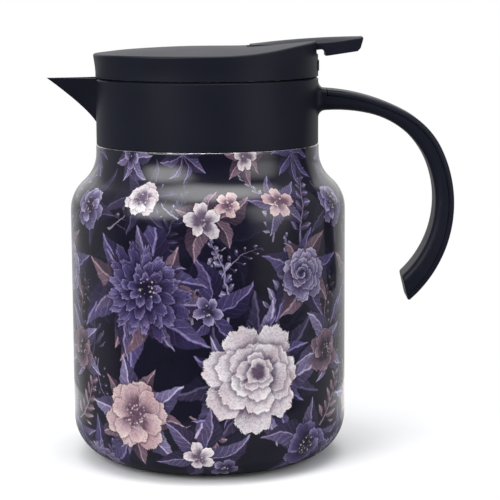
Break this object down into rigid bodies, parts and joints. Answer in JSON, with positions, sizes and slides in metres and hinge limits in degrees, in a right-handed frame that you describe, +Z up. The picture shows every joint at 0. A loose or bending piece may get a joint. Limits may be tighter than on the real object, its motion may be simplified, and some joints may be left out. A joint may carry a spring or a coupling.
{
  "type": "insulated pouring jug",
  "caption": "Insulated steel jug with a printed round body, dark collar with pouring beak and open handle, and a screw lid whose thumb lever lifts a sprung pouring valve.",
  "frame": {"origin": "on the body's axis, in the plane of the foot ring's lower face", "axes": "+Z up along the body's axis, -X towards the spout's tip, +X towards the handle, Y across"},
  "size_m": [0.1775, 0.1204, 0.1847],
  "materials": {
    "printed_steel": "glossy clear-coated floral print on a deep navy ground",
    "bare_steel": "spun stainless steel",
    "solder": "dull grey",
    "dark_plastic": "satin navy-black moulding",
    "base_plastic": "fine-grained black moulding",
    "inner_plastic": "plain satin black moulding",
    "slide_plastic": "smooth natural white",
    "silicone": "soft translucent grey",
    "foot_rubber": "matt black",
    "bright_steel": "drawn and polished"
  },
  "bodies": {
    "pot": {"outer_shell": "printed_steel", "inner_liner": "bare_steel", "liner_base": "bare_steel", "shell_bottom": "bare_steel", "seal_bead": "solder", "getter": "solder", "base_cover": "base_plastic", "foot_ring": "foot_rubber", "collar": "dark_plastic", "handle_cover": "dark_plastic", "neck_seal": "silicone", "snap_ring": "inner_plastic"},
    "lid_gasket": {"stopper_gasket": "silicone"},
    "lid": {"lid_cover": "dark_plastic", "lid_deck": "inner_plastic", "stopper": "inner_plastic", "deck_seal": "silicone", "lid_screws": "bright_steel", "lever_pin": "bright_steel", "stem_bush": "slide_plastic", "valve_spring": "bright_steel"},
    "lever": {"thumb_lever": "dark_plastic"},
    "valve": {"valve_stem": "inner_plastic", "valve_seal": "silicone", "stem_head": "inner_plastic"}
  },
  "joints": [
    {"name": "lid_rise", "type": "slide", "parent": "pot", "child": "lid_gasket", "axis": [0, 0, 1], "range_m": [0, 0.027]},
    {"name": "lid_turn", "type": "hinge", "parent": "lid_gasket", "child": "lid", "pos_m": [0, 0, 0.1678], "axis": [0, 0, 1], "range_deg": [0, 270]},
    {"name": "lever_press", "type": "hinge", "parent": "lid", "child": "lever", "pos_m": [0.036, 0, 0.1745], "axis": [0, 1, 0], "range_deg": [0, 7], "stiffness_Nm_per_rad": 0.35, "springref_deg": -5.73},
    {"name": "valve_lift", "type": "slide", "parent": "lid", "child": "valve", "axis": [0, 0, 1], "range_m": [0, 0.0044], "deforming": ["valve_spring"]}
  ],
  "couplings": [
    {"joint": "lid_rise", "follows": "lid_turn", "m_per_rad": 0.0057295},
    {"joint": "valve_lift", "follows": "lever_press", "m_per_rad": 0.036}
  ]
}
